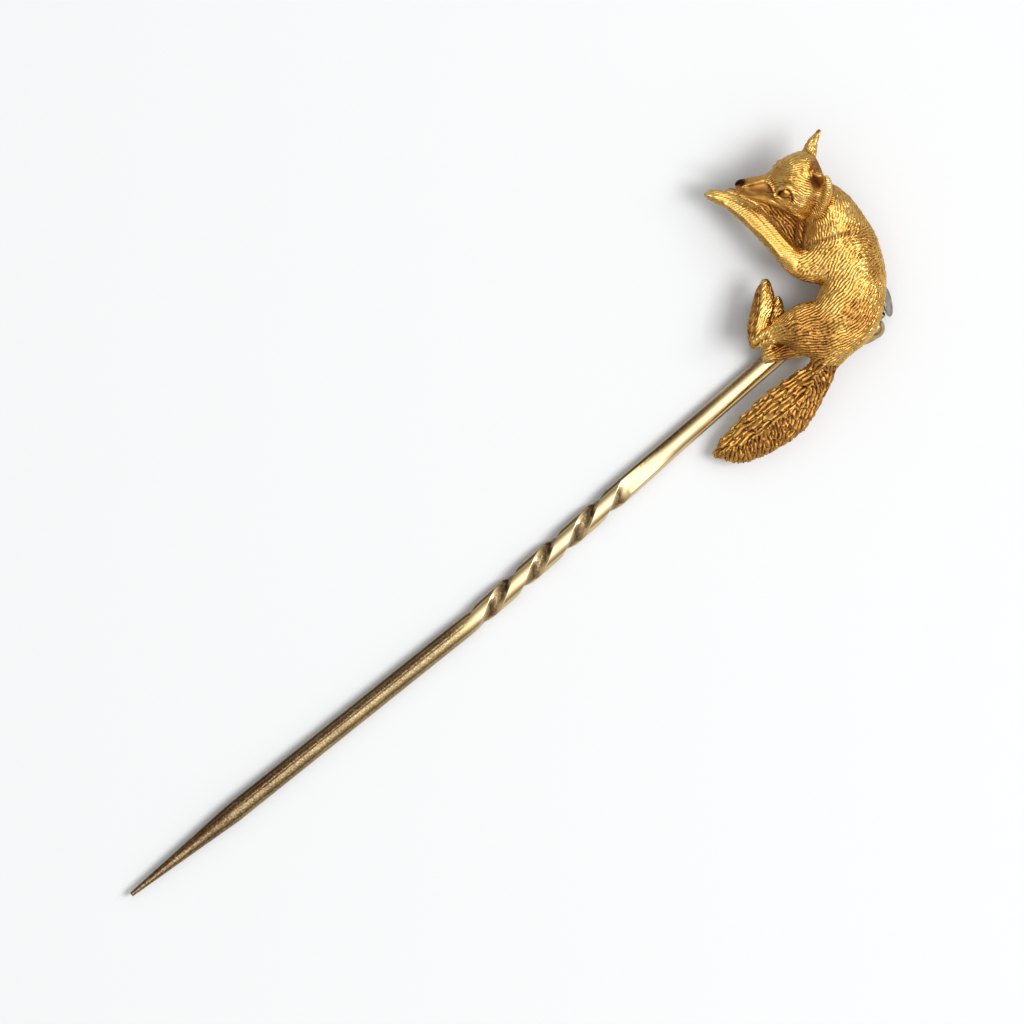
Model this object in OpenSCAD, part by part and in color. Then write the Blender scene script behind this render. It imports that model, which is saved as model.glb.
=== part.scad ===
// Fox stick pin, in millimetres. The plain round shaft lies along X with its point at -X,
// the origin is on its axis where the twist begins, and the fox faces +Z.

/* [Fox] */
// Height of the fox as it faces the viewer, from tail tip to far ear tip
fox_h = 18.9; // [17.5:0.1:20.5]
// Width of the fox, from the near fore paw to the back
fox_w = 10.4; // [9.6:0.1:11.4]
// Thickness of the fox, from the surface it lies on to its brow
fox_d = 5.4; // [5:0.1:6]

/* [Head] */
// Length of the head, nose to nape
head_l = 5; // [4.6:0.1:5.4]
// Width of the head across the cheeks
head_w = 3.3; // [2.9:0.1:3.7]
// Height of the head, jaw to crown
head_h = 3.2; // [2.8:0.1:3.6]
// Turn of the head about its own length, which brings the crown to the front
head_roll = 45; // [35:1:55]
// Turn of the muzzle toward the front
head_yaw = 8; // [0:1:15]
// Length of an ear
ear_l = 1.9; // [1.6:0.05:2.4]
// Width of an ear at its base
ear_w = 1.15; // [0.9:0.05:1.4]
// Diameter of an eye
eye_d = 0.56; // [0.4:0.02:0.7]

/* [Legs] */
// Thickness of a foreleg at the forearm
foreleg_w = 1.42; // [1.2:0.02:1.6]
// Width of the near thigh
thigh_w = 2.96; // [2.6:0.02:3.3]
// Width of a hind foot
foot_w = 1.37; // [1.2:0.02:1.6]
// Diameter of a toe
toe_d = 0.36; // [0.28:0.02:0.46]

/* [Tail] */
// Width of the brush at its widest
tail_w = 3.02; // [2.6:0.02:3.4]
// Thickness of the brush at its widest
tail_t = 1.5; // [1.2:0.02:1.8]
// Thickness of a lock of the brush
lock_d = 0.5; // [0.4:0.02:0.6]

/* [Stem] */
// Diameter of the wire
stem_d = 1.15; // [1:0.05:1.4]
// Length of the straight part below the twist, with the point
shaft_l = 24.6; // [20:0.1:32]
// Length over which the wire narrows to its point
point_l = 7.4; // [5:0.1:10]
// Diameter of the flat end of the point
point_d = 0.26; // [0.15:0.01:0.4]
// Length of the twisted stretch up to its last flat
twist_l = 11.9; // [9:0.1:15]
// Length of a half turn of the twist
half_turn_l = 3.24; // [2.4:0.02:4.5]
// Width of the flattened wire in the twist
bar_w = 1.26; // [1.2:0.02:1.6]
// Thickness of the flattened wire in the twist
bar_t = 1; // [0.7:0.02:1.1]
// Depth of the hollow in each flat of the twist
bar_hollow = 0.07; // [0:0.01:0.12]
// Length over which the last flat fades into the round shaft
flat_fade_l = 4.4; // [3:0.1:6]
// Length from the last flat's middle to where the wire goes under the fox
upper_l = 10.8; // [8:0.1:16]
// Small bend of the stem where the twist begins, in degrees
stem_bend = 2.4; // [0:0.1:5]
// Angle between the stem and the fox's width, in degrees
stem_turn = 41.1; // [36:0.1:46]

/* [Back fittings] */
// Diameter of the rounded end of the wire behind the fox
lug_d = 1.26; // [1.2:0.02:1.5]
// Diameter of the small bead on the lug
bead_d = 0.36; // [0.3:0.02:0.5]
// Diameter of the white-metal disc
disc_d = 1.75; // [1.4:0.05:2.2]
// Thickness of the white-metal disc
disc_t = 0.18; // [0.12:0.01:0.3]

/* [Fits] */
// Gap between the wire and its seat in the fox
seat_gap = 0.03; // [0.02:0.005:0.06]

/* [Hidden] */
$fn = 48;

fox_gold = "#c8892e";
stem_gold = "#b9a25c";
white_metal = "#b4b5b1";
stem_r = stem_d / 2;
// Height of the wire's axis over the surface, on which the twist's widest parts lie
axis_h = max(stem_r, bar_w / 2);

// Columns of the section tables: the place across, up and out in shares of the fox's
// width, height and thickness, then the half width, front and back in shares of the
// limb's own sizes.
//                 across   up   out  half_w front  back
torso_table = [[0.570, 0.830, 0.60, 0.082, 0.22, 0.22],
               [0.679, 0.764, 0.54, 0.138, 0.31, 0.31],
               [0.738, 0.663, 0.42, 0.203, 0.38, 0.42],
               [0.803, 0.575, 0.47, 0.190, 0.36, 0.40],
               [0.809, 0.512, 0.52, 0.181, 0.34, 0.38],
               [0.765, 0.431, 0.57, 0.184, 0.35, 0.42],
               [0.689, 0.346, 0.55, 0.118, 0.28, 0.36],
               [0.645, 0.290, 0.49, 0.070, 0.14, 0.16]];
near_foreleg_table = [[0.760, 0.610, 0.54, 0.80, 0.70, 0.60],
                      [0.639, 0.593, 0.61, 0.74, 0.60, 0.60],
                      [0.546, 0.596, 0.62, 0.64, 0.52, 0.55],
                      [0.470, 0.617, 0.60, 0.51, 0.45, 0.45],
                      [0.383, 0.672, 0.57, 0.46, 0.42, 0.42],
                      [0.279, 0.732, 0.53, 0.46, 0.38, 0.38],
                      [0.213, 0.759, 0.50, 0.41, 0.34, 0.34],
                      [0.142, 0.786, 0.47, 0.34, 0.30, 0.30],
                      [0.077, 0.801, 0.45, 0.29, 0.30, 0.30],
                      [0.032, 0.806, 0.44, 0.22, 0.26, 0.26]];
far_foreleg_table = [[0.667, 0.670, 0.30, 0.80, 0.60, 0.60],
                     [0.557, 0.680, 0.24, 0.66, 0.46, 0.46],
                     [0.448, 0.724, 0.23, 0.52, 0.40, 0.40],
                     [0.339, 0.768, 0.24, 0.44, 0.36, 0.36],
                     [0.230, 0.797, 0.26, 0.32, 0.30, 0.30],
                     [0.145, 0.814, 0.28, 0.22, 0.26, 0.26]];
near_thigh_table = [[0.790, 0.420, 0.54, 0.56, 0.44, 0.36],
                    [0.639, 0.403, 0.63, 0.57, 0.42, 0.36],
                    [0.514, 0.403, 0.63, 0.49, 0.36, 0.32],
                    [0.432, 0.398, 0.61, 0.29, 0.26, 0.24],
                    [0.377, 0.386, 0.59, 0.19, 0.20, 0.19],
                    [0.311, 0.370, 0.57, 0.16, 0.17, 0.17],
                    [0.276, 0.359, 0.56, 0.12, 0.13, 0.13]];
near_foot_table = [[0.273, 0.360, 0.55, 0.26, 0.30, 0.30],
                   [0.288, 0.405, 0.54, 0.40, 0.38, 0.38],
                   [0.318, 0.466, 0.52, 0.48, 0.40, 0.40],
                   [0.328, 0.512, 0.50, 0.42, 0.38, 0.38],
                   [0.333, 0.537, 0.48, 0.26, 0.30, 0.30]];
far_thigh_table = [[0.740, 0.400, 0.48, 1.10, 0.70, 0.60],
                   [0.612, 0.380, 0.44, 0.90, 0.56, 0.46],
                   [0.519, 0.356, 0.40, 0.52, 0.44, 0.38],
                   [0.421, 0.334, 0.37, 0.36, 0.36, 0.32],
                   [0.345, 0.319, 0.35, 0.26, 0.28, 0.28]];
far_foot_table = [[0.345, 0.319, 0.35, 0.26, 0.28, 0.28],
                  [0.366, 0.386, 0.35, 0.34, 0.32, 0.30],
                  [0.390, 0.460, 0.35, 0.38, 0.32, 0.30],
                  [0.400, 0.486, 0.35, 0.24, 0.26, 0.26]];
tail_table = [[0.656, 0.304, 0.52, 0.24, 0.50, 0.50],
              [0.642, 0.278, 0.49, 0.27, 0.52, 0.48],
              [0.574, 0.232, 0.44, 0.36, 0.55, 0.42],
              [0.455, 0.162, 0.38, 0.50, 0.58, 0.42],
              [0.326, 0.103, 0.32, 0.47, 0.52, 0.36],
              [0.197, 0.056, 0.26, 0.36, 0.42, 0.28],
              [0.126, 0.041, 0.23, 0.25, 0.32, 0.20],
              [0.076, 0.029, 0.21, 0.11, 0.16, 0.12]];

// Head sections in the head's own frame: how far back from the nose in shares of the
// head's length, the half width in shares of its width, crown and jaw in shares of
// its height.
//             along half_w crown  jaw
head_table = [[0.00, 0.05, 0.07, 0.04],
              [0.04, 0.10, 0.11, 0.09],
              [0.14, 0.14, 0.14, 0.15],
              [0.26, 0.17, 0.18, 0.22],
              [0.35, 0.21, 0.22, 0.27],
              [0.42, 0.27, 0.32, 0.32],
              [0.50, 0.36, 0.51, 0.36],
              [0.58, 0.43, 0.65, 0.45],
              [0.69, 0.48, 0.72, 0.56],
              [0.80, 0.49, 0.72, 0.63],
              [0.92, 0.38, 0.52, 0.52],
              [1.00, 0.18, 0.22, 0.28]];
// Where along the head its neck joins it, and where that point is on the fox
neck_along = 0.92;
head_place = [0.607, 0.834, 0.66];
// Places on the head: along from the nose, up from its axis and out to the side, in
// shares of its length, height and width
nose_place = [0.035, 0.03, 0];
eye_place = [0.53, 0.194, 0.33];
mouth_front = [0.05, -0.05, 0.11];
mouth_back = [0.42, -0.17, 0.25];
ear_place = [0.82, 0.32, 0.34];
cheek_place = [0.80, 0.22, 0.36];
nose_d = 0.5;
mouth_d = 0.12;
cheek_lock_d = 0.7;

// Where the wire goes under the fox, and its route behind it, in shares of the fox's
// width and height
pin_entry = [0.355, 0.304];
// How far the straight wire reaches under the fox
hidden_straight_l = 1.6;
hidden_route = [[0.596, 0.404], [0.694, 0.402], [0.792, 0.388], [0.869, 0.387], [0.930, 0.405]];
// The lug, the bead and the disc behind the fox's back: across, up, and out
lug_place = [0.930, 0.408, 0.17];
bead_place = [0.975, 0.447, 0.22];
disc_place = [1.002, 0.487, 0.24];
disc_lean = 76;
disc_swing = 11;
// Length over which the round shaft turns into the twisted bar, how far joined parts
// run into each other, and how much the faceted wire stays inside the round one
twist_start_l = 1.6;
overlap = 0.15;
inset = 0.004;

function unit(v) = v / norm(v);
function by_sizes(row, sizes) = [for (i = [0:len(row) - 1]) row[i] * sizes[i]];
function on_fox(shares) = by_sizes(shares, [fox_w, fox_h, fox_d]);
function limb(table, w, d) = [for (row = table) by_sizes(row, [fox_w, fox_h, fox_d, w, d, d])];

// One point of a smooth curve through b and c, with a before and d after them
function bend(a, b, c, d, t) =
    b + (c - a) * t / 2 + (2 * a - 5 * b + 4 * c - d) * t * t / 2 + (3 * b - a - 3 * c + d) * t * t * t / 2;

// The rows of a table with smooth steps between them
function smooth(rows, steps) =
    let (last = len(rows) - 1)
    [for (i = [0:last - 1]) for (k = [0:steps - 1])
        bend(rows[max(i - 1, 0)], rows[i], rows[i + 1], rows[min(i + 2, last)], k / steps),
     rows[last]];

function place_of(row) = [row[0], row[1], row[2]];
function heading(rows, i) =
    unit(place_of(rows[min(i + 1, len(rows) - 1)]) - place_of(rows[max(i - 1, 0)]));

// The rows with two more that round off the last end, which reaches one half width on
function rounded_end(rows) =
    let (last = len(rows) - 1, end = rows[last], ahead = heading(rows, last) * end[3])
    concat(rows, [for (a = [35, 65])
        concat(place_of(end) + ahead * sin(a), [end[3], end[4], end[5]] * cos(a))]);

// Points of one section: an egg shape whose front and back depths differ
function ring(row, head, facing, sides) =
    let (side = unit(cross(facing, head)), out = cross(head, side))
    [for (k = [0:sides - 1])
        let (a = 360 * k / sides)
        place_of(row) + side * row[3] * cos(a) + out * (sin(a) > 0 ? row[4] : row[5]) * sin(a)];

// A closed solid through the sections of a table
module loft(rows, facing = [0, 0, 1], sides = 20, steps = 3) {
    run = smooth(rows, steps);
    end = run[len(run) - 1];
    path = rounded_end(run);
    last = len(path) - 1;
    rings = [for (i = [0:last]) each ring(path[i], heading(path, i), facing, sides)];
    points = concat(rings, [place_of(path[0]), place_of(end) + heading(run, len(run) - 1) * end[3]]);
    caps = len(rings);
    faces = concat(
        [for (i = [0:last - 1]) for (k = [0:sides - 1])
            let (a = i * sides + k, b = i * sides + (k + 1) % sides)
            [a, a + sides, b + sides, b]],
        [for (k = [0:sides - 1]) [caps, k, (k + 1) % sides]],
        [for (k = [0:sides - 1]) [caps + 1, last * sides + (k + 1) % sides, last * sides + k]]);
    polyhedron(points, faces, convexity = 6);
}

// A tapering tuft, lock or toe from one ball to another
module tuft(from, to, d_from, d_to) {
    hull() {
        translate(from) sphere(d = d_from, $fn = 8);
        translate(to) sphere(d = d_to, $fn = 6);
    }
}

// Three toes side by side at the end of a paw
module toes(rows) {
    end = rows[len(rows) - 1];
    ahead = heading(rows, len(rows) - 1);
    for (i = [-1:1]) {
        root = place_of(end) + [0, 0, i * 0.8 * toe_d];
        tuft(root - ahead * toe_d, root + ahead * (0.75 - 0.12 * abs(i)) * toe_d, toe_d, 0.8 * toe_d);
    }
}

module torso() {
    loft(limb(torso_table, fox_w, fox_d), sides = 24);
}

module legs() {
    near_foreleg = limb(near_foreleg_table, foreleg_w, foreleg_w);
    far_foreleg = limb(far_foreleg_table, foreleg_w, foreleg_w);
    near_foot = limb(near_foot_table, foot_w, foot_w);
    far_foot = limb(far_foot_table, foot_w, foot_w);
    loft(near_foreleg, steps = 2);
    loft(far_foreleg, sides = 16, steps = 2);
    loft(limb(near_thigh_table, thigh_w, thigh_w), steps = 2);
    loft(near_foot, sides = 16, steps = 2);
    loft(limb(far_thigh_table, foot_w, foot_w), sides = 16, steps = 2);
    loft(far_foot, sides = 14, steps = 2);
    for (paw = [near_foreleg, far_foreleg, near_foot, far_foot]) toes(paw);
}

// The brush, with a herringbone of locks along both sides of its middle ridge
module tail() {
    rows = limb(tail_table, tail_w, tail_t);
    loft(rows, steps = 2);
    run = smooth(rows, 2);
    for (i = [3:len(run) - 3]) for (s = [-1, 1]) {
        row = run[i];
        ahead = heading(run, i);
        side = s * unit(cross([0, 0, 1], ahead));
        thick = lock_d * (0.35 + 1.3 * row[3] / tail_w);
        root = place_of(row) + side * 0.25 * row[3] + [0, 0, 0.95 * row[4] - 0.3 * thick];
        end = place_of(row) + (side * 0.80 + ahead * 0.35) * row[3] + [0, 0, 0.40 * row[4]];
        tuft(root, end, thick, 0.3 * thick);
    }
}

// The head in its own frame: nose toward -X, crown toward +Y, near side toward +Z,
// with the neck joint at the origin
module head() {
    rows = [for (row = head_table)
        [(row[0] - neck_along) * head_l, 0, 0, row[1] * head_w, row[2] * head_h, row[3] * head_h]];
    difference() {
        loft(rows, facing = [0, 1, 0], steps = 2);
        for (s = [-1, 1]) tuft(on_head(mouth_front, s), on_head(mouth_back, s), mouth_d, mouth_d);
    }
    translate(on_head(nose_place, 1)) scale([1, 0.8, 1]) sphere(d = nose_d, $fn = 16);
    for (s = [-1, 1]) {
        ear(s);
        eye(s);
        for (i = [0:3]) {
            root = on_head(cheek_place + [0.02 * i, -0.20 * i, -0.02 * i * i], s);
            tip = root + [0.14 * head_l, -0.07 * head_h, s * 0.04 * head_w];
            tuft(root, tip, cheek_lock_d, 0.2 * cheek_lock_d);
        }
    }
}

function on_head(shares, s) =
    [(shares[0] - neck_along) * head_l, shares[1] * head_h, s * shares[2] * head_w];

// An eyeball between an upper and a lower lid, each of two short ridges
module eye(s) {
    middle = on_head(eye_place, s);
    lid = 0.32 * eye_d;
    translate(middle) sphere(d = eye_d, $fn = 16);
    front = middle + [-0.75, -0.12, -0.25 * s] * eye_d;
    back = middle + [0.75, 0.05, 0.22 * s] * eye_d;
    for (v = [-1, 1]) {
        over = middle + [0, 0.55 * v, (0.16 - 0.06 * v) * s] * eye_d;
        tuft(front, over, lid, lid);
        tuft(over, back, lid, lid);
    }
}

// A cupped ear that opens forward and outward
module ear(s) {
    base = on_head(ear_place, s);
    tip = base + ear_l * unit([0.30, 0.85, s * 0.44]);
    middle = base + 0.5 * (tip - base) + [-0.03, 0, s * 0.1] * ear_w;
    root = base - 0.3 * (tip - base);
    rows = [concat(root, [0.40 * ear_w, 0.10 * ear_w, 0.40 * ear_w]),
            concat(base, [0.50 * ear_w, -0.12 * ear_w, 0.40 * ear_w]),
            concat(middle, [0.38 * ear_w, -0.14 * ear_w, 0.28 * ear_w]),
            concat(tip, [0.06 * ear_w, 0.02 * ear_w, 0.08 * ear_w])];
    loft(rows, facing = unit([-0.5, 0, s]), sides = 16, steps = 2);
}

module fox() {
    color(fox_gold) in_figure()
    difference() {
        union() {
            torso();
            legs();
            tail();
            translate(on_fox(head_place)) rotate([head_roll, head_yaw, 0]) head();
        }
        translate([-fox_w, -fox_h, -fox_d]) cube([3 * fox_w, 3 * fox_h, fox_d]);
        hidden_wire(-stem_d, seat_gap);
    }
}

// Puts what is drawn in the fox's own frame, with its lower left corner at the origin
// and the surface at height 0, onto the stem
module in_figure() {
    on_upper_axis() translate([twist_l + upper_l, 0, -axis_h]) rotate([0, 0, -stem_turn])
        translate([-pin_entry[0] * fox_w, -pin_entry[1] * fox_h, 0]) children();
}

module on_upper_axis() {
    rotate([0, 0, stem_bend]) children();
}

// A point of the stem's axis in the fox's frame, from where it goes under the fox
function axis_point(along) =
    [pin_entry[0] * fox_w + along * cos(stem_turn), pin_entry[1] * fox_h + along * sin(stem_turn), axis_h];

// The wire behind the fox, from a point of its straight part to the lug, grown by an
// allowance
module hidden_wire(from, grow) {
    r = stem_r - inset + grow;
    route = concat([axis_point(from), axis_point(hidden_straight_l)],
        [for (p = hidden_route) [p[0] * fox_w, p[1] * fox_h, axis_h]]);
    loft([for (p = route) concat(p, [r, r, r])], sides = 16, steps = 3);
    translate(on_fox(lug_place)) sphere(r = lug_d / 2 + grow);
}

// Reach of the flattened wire's surface at an angle from the middle of one flat
function bar_reach(a) =
    let (turned = (a + 720) % 180, from_flat = min(turned, 180 - turned), corner = acos(bar_t / bar_w))
    from_flat < corner
        ? bar_t / 2 / cos(from_flat) - bar_hollow * cos(90 * from_flat / corner)
        : bar_w / 2;

function blend(x, from, to) =
    let (t = min(max((x - from) / (to - from), 0), 1)) t * t * (3 - 2 * t);

// The twisted stretch: round at both ends, a bar with two hollow flats between
module twist() {
    sides = 22;
    stations = concat([for (x = [-overlap:half_turn_l / 11:twist_l - 0.1]) x],
        [for (k = [0:6]) twist_l + flat_fade_l * k / 6]);
    last = len(stations) - 1;
    points = [for (x = stations)
        let (flatness = blend(x, 0, twist_start_l) * (1 - blend(x, twist_l, twist_l + flat_fade_l)),
             turn = 180 * (min(x, twist_l) - twist_l) / half_turn_l)
        for (k = [0:sides - 1])
            let (a = 360 * k / sides, reach = flatness * bar_reach(a) + (1 - flatness) * (stem_r - inset))
            [x, -reach * sin(a - turn), reach * cos(a - turn)]];
    faces = concat(
        [for (i = [0:last - 1]) for (k = [0:sides - 1])
            let (a = i * sides + k, b = i * sides + (k + 1) % sides)
            [a, a + sides, b + sides, b]],
        [[for (k = [0:sides - 1]) k]],
        [[for (k = [0:sides - 1]) last * sides + sides - 1 - k]]);
    polyhedron(points, faces, convexity = 10);
}

module pin_stem() {
    upper_from = twist_l + flat_fade_l - overlap;
    color(stem_gold) {
        rotate([0, -90, 0]) {
            cylinder(r = stem_r, h = shaft_l - point_l);
            translate([0, 0, shaft_l - point_l]) cylinder(r1 = stem_r, r2 = point_d / 2, h = point_l);
        }
        on_upper_axis() {
            twist();
            translate([upper_from, 0, 0]) rotate([0, 90, 0])
                cylinder(r = stem_r, h = twist_l + upper_l + hidden_straight_l - upper_from);
        }
        in_figure() {
            hidden_wire(hidden_straight_l - 2 * overlap, 0);
            tuft(on_fox(lug_place), on_fox(bead_place), bead_d, bead_d);
        }
    }
}

module end_disc() {
    color(white_metal) in_figure()
        translate(on_fox(disc_place)) rotate([0, disc_lean, disc_swing])
            cylinder(d = disc_d, h = disc_t, center = true);
}

fox();
pin_stem();
end_disc();
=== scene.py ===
"""Looks of a gold stick pin: an engraved cast fox on a drawn and twisted wire, with a small
white-metal disc at the fox's back. Lengths are millimetres until a mesh is written out in
metres. Names that end in _PX are places or widths in pixels of the 1024 x 1024 photograph."""
import math
from functools import partial

import bpy
import numpy as np
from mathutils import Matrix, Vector, kdtree, noise


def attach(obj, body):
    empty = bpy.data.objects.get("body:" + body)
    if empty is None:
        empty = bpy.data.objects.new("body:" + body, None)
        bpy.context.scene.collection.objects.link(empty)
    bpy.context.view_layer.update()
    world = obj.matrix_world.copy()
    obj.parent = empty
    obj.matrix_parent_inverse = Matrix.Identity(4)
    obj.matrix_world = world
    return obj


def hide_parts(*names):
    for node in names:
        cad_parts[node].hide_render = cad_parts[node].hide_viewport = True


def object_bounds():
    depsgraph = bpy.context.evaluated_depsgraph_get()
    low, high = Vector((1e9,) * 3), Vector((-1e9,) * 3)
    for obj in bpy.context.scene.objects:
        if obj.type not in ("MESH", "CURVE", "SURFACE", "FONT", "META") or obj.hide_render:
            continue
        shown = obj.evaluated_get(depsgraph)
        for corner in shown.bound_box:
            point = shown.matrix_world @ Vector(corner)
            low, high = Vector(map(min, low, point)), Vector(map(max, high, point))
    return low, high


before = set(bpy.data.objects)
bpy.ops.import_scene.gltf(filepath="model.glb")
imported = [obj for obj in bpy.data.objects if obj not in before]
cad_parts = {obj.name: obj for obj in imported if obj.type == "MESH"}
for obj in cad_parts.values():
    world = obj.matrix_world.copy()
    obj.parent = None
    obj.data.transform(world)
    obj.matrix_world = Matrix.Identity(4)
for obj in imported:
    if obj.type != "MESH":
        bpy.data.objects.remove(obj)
cad_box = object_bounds()

METRES = 0.001

# ---- Sizes of the part, as in its source ----
FOX_W, FOX_H, FOX_D = 10.4, 18.9, 5.4
STEM_D = 1.15
SHAFT_L, POINT_L, POINT_D = 24.6, 7.4, 0.26
TWIST_L, HALF_TURN_L, TWIST_START_L = 11.9, 3.24, 1.6
BAR_W = 1.26
FLAT_FADE_L, UPPER_L, HIDDEN_STRAIGHT_L = 4.4, 10.8, 1.6
STEM_BEND, STEM_TURN = 2.4, 41.1
LUG_D, BEAD_D = 1.26, 0.36
DISC_D, DISC_T = 1.75, 0.18
AXIS_H = BAR_W / 2
PIN_ENTRY = (0.355, 0.304)
HIDDEN_ROUTE = ((0.596, 0.404), (0.694, 0.402), (0.792, 0.388), (0.869, 0.387), (0.930, 0.405))
LUG_PLACE = (0.930, 0.408, 0.17)
BEAD_PLACE = (0.975, 0.447, 0.22)

# ---- The photograph's view, from straight above ----
VIEW_CENTRE = np.array([5.94, 3.45])
VIEW_W = 58.4
CAMERA_HEIGHT = 1215
CAMERA_LENS, CAMERA_SENSOR = 750, 36
PHOTO_TURN = math.radians(-38.7)
PHOTO_SIDE_PX = 1024
MIDDLE_PX = PHOTO_SIDE_PX / 2
RIGHT = np.array([math.cos(PHOTO_TURN), math.sin(PHOTO_TURN)])
UP = np.array([-math.sin(PHOTO_TURN), math.cos(PHOTO_TURN)])


def photo_pixels(points):
    """Where points of the pin show in the photograph, across and down."""
    flat = points[:, :2] - VIEW_CENTRE
    grow = PHOTO_SIDE_PX / VIEW_W * CAMERA_HEIGHT / (CAMERA_HEIGHT - points[:, 2])
    return np.stack([MIDDLE_PX + flat @ RIGHT * grow, MIDDLE_PX - flat @ UP * grow], 1)


def eased(x, start, end):
    """0 before start, 1 after end, and a smooth rise between."""
    t = np.clip((x - start) / (end - start), 0, 1)
    return t * t * (3 - 2 * t)


def unit(vectors):
    return vectors / (np.linalg.norm(vectors, axis=-1, keepdims=True) + 1e-12)


def on_axis(along):
    """A point of the upper stem's axis, from where the twist begins."""
    bend = math.radians(STEM_BEND)
    return np.array([along * math.cos(bend), along * math.sin(bend), 0.0])


def on_fox(across, up, out):
    """A place on the fox, in shares of its width, height and thickness."""
    turn = math.radians(STEM_BEND - STEM_TURN)
    x, y = (across - PIN_ENTRY[0]) * FOX_W, (up - PIN_ENTRY[1]) * FOX_H
    entry = on_axis(TWIST_L + UPPER_L)
    return entry + np.array([x * math.cos(turn) - y * math.sin(turn),
                             x * math.sin(turn) + y * math.cos(turn),
                             out * FOX_D - AXIS_H])


# ---- Places in the photograph ----
# Where a soft-edged place begins to fade and has faded, in shares of its radius
PLACE_EDGE = (0.5, 1.3)


def from_photo(u, v, height):
    """The point, in mm, that shows at a pixel and lies at a height over the table."""
    z = height - AXIS_H
    shrink = VIEW_W / PHOTO_SIDE_PX * (CAMERA_HEIGHT - z) / CAMERA_HEIGHT
    flat = VIEW_CENTRE + ((u - MIDDLE_PX) * RIGHT + (MIDDLE_PX - v) * UP) * shrink
    return np.array([flat[0], flat[1], z])


def line_distance(pixels, line):
    """How far, in pixels, each place is from a line of short straight runs."""
    line = np.array(line, float)
    best = np.full(len(pixels), np.inf)
    if len(line) == 1:
        return np.hypot(*(pixels - line[0]).T)
    for start, end in zip(line, line[1:]):
        run = end - start
        share = np.clip((pixels - start) @ run / (run @ run), 0, 1)
        best = np.minimum(best, np.hypot(*(pixels - start - share[:, None] * run).T))
    return best


def near_places(pixels, places):
    """How strongly each point of the photograph lies within soft-edged round places."""
    share = np.zeros(len(pixels))
    for u, v, radius, strength in places:
        away = np.hypot(pixels[:, 0] - u, pixels[:, 1] - v)
        start, end = PLACE_EDGE[0] * radius, PLACE_EDGE[1] * radius
        share = np.maximum(share, strength * (1 - eased(away, start, end)))
    return share


def inside(pixels, corners):
    """Which places lie inside a closed outline."""
    result = np.zeros(len(pixels), bool)
    u, v = pixels.T
    for (u0, v0), (u1, v1) in zip(corners, corners[1:] + corners[:1]):
        crosses = (v0 > v) != (v1 > v)
        if v1 != v0:
            result ^= crosses & (u < u0 + (v - v0) * (u1 - u0) / (v1 - v0))
    return result


# ---- Meshes ----
def read_all(items, field, width, kind):
    values = np.empty(len(items) * width, kind)
    items.foreach_get(field, values)
    return values.reshape(-1, width)


def mesh_points(mesh):
    return read_all(mesh.vertices, "co", 3, float)


def mesh_normals(mesh):
    return read_all(mesh.vertex_normals, "vector", 3, np.float32).astype(float)


def edge_ends(mesh):
    return read_all(mesh.edges, "vertices", 2, int)


def set_points(mesh, points):
    mesh.vertices.foreach_set("co", points.ravel())
    mesh.update()


def note(mesh, name, values, kind="FLOAT", field="value"):
    """Keeps a value for each point of a mesh, which its material reads."""
    kept = mesh.attributes.new(name, kind, "POINT")
    kept.data.foreach_set(field, values.astype(np.float32).ravel())


def neighbour_mean(values, ends):
    """Mean of each point's neighbours along the mesh's edges."""
    count = np.bincount(ends.ravel(), minlength=len(values))
    columns = [np.bincount(ends[:, 0], values[ends[:, 1], k], len(values))
               + np.bincount(ends[:, 1], values[ends[:, 0], k], len(values))
               for k in range(values.shape[1])]
    return np.stack(columns, 1) / count[:, None]


def relaxed(points, ends, rounds, share):
    """The points moved toward their neighbours' mean, over and over."""
    for _ in range(rounds):
        points = points + (neighbour_mean(points, ends) - points) * share
    return points


def new_object(name, data):
    made = bpy.data.objects.new(name, data)
    bpy.context.scene.collection.objects.link(made)
    return made


def search_tree(points):
    tree = kdtree.KDTree(len(points))
    for i, point in enumerate(points):
        tree.insert(point, i)
    tree.balance()
    return tree


def modified(mesh, kind, **settings):
    """The mesh after one modifier."""
    piece = new_object("in_work", mesh)
    modifier = piece.modifiers.new("work", kind)
    for name, value in settings.items():
        setattr(modifier, name, value)
    depsgraph = bpy.context.evaluated_depsgraph_get()
    result = bpy.data.meshes.new_from_object(piece.evaluated_get(depsgraph))
    bpy.data.objects.remove(piece)
    return result


def circle(sides):
    """The angles of a ring's points."""
    return np.linspace(0, 2 * math.pi, sides, endpoint=False)


def ring(side, front, sides):
    """Ways out to a ring's points, for one pair or for many pairs of ways at right angles."""
    a = circle(sides)[:, None]
    return np.cos(a) * side[..., None, :] + np.sin(a) * front[..., None, :]


def new_mesh(name, points, faces):
    mesh = bpy.data.meshes.new(name)
    mesh.from_pydata(points, [], faces)
    mesh.update()
    return mesh


def tube(rings, name):
    """A closed mesh through rings of points, with a point in the middle of each end."""
    count, sides = rings.shape[:2]
    points = np.concatenate([rings.reshape(-1, 3), rings[0].mean(0)[None], rings[-1].mean(0)[None]])
    k = np.arange(sides)
    following = (k + 1) % sides
    faces = []
    for i in range(count - 1):
        a, b = i * sides + k, i * sides + following
        faces += np.stack([a, b, b + sides, a + sides], 1).tolist()
    first, last = count * sides, (count - 1) * sides
    faces += np.stack([following, k, np.full(sides, first)], 1).tolist()
    faces += np.stack([last + k, last + following, np.full(sides, first + 1)], 1).tolist()
    return new_mesh(name, points.tolist(), faces)


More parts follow.
